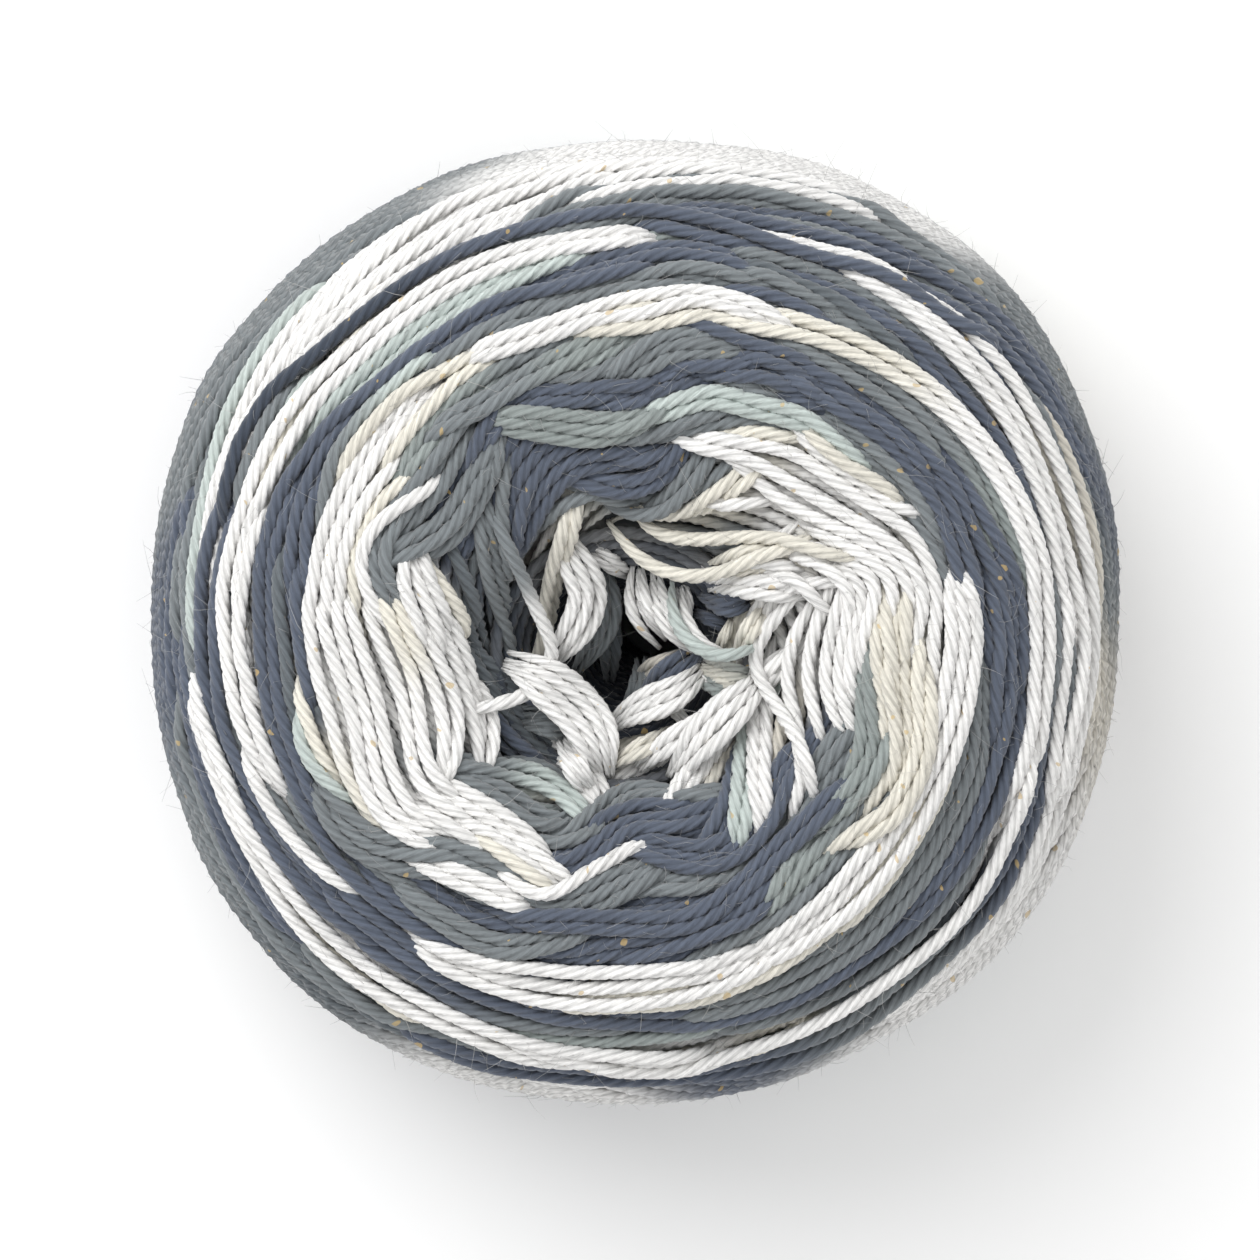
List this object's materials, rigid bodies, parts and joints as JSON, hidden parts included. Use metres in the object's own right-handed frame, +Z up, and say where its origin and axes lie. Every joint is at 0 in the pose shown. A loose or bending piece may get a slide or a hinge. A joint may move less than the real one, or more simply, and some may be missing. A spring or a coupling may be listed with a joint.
{
  "type": "yarn cake",
  "caption": "Centre-pull cake of dyed cotton yarn, wound as a wide low drum with an uneven outline, a slack open top of loose locks and a crooked throat down the middle.",
  "frame": {"origin": "middle of the cake's outline, on the surface that it stands on", "axes": "+Z up along the axis of the winding, through the open top; +Y to the top of the picture, +X to its right"},
  "size_m": [0.1298, 0.1292, 0.0795],
  "materials": {
    "dyed_cotton": "matte"
  },
  "bodies": {
    "root": {"yarn_cake": "dyed_cotton"}
  },
  "joints": []
}
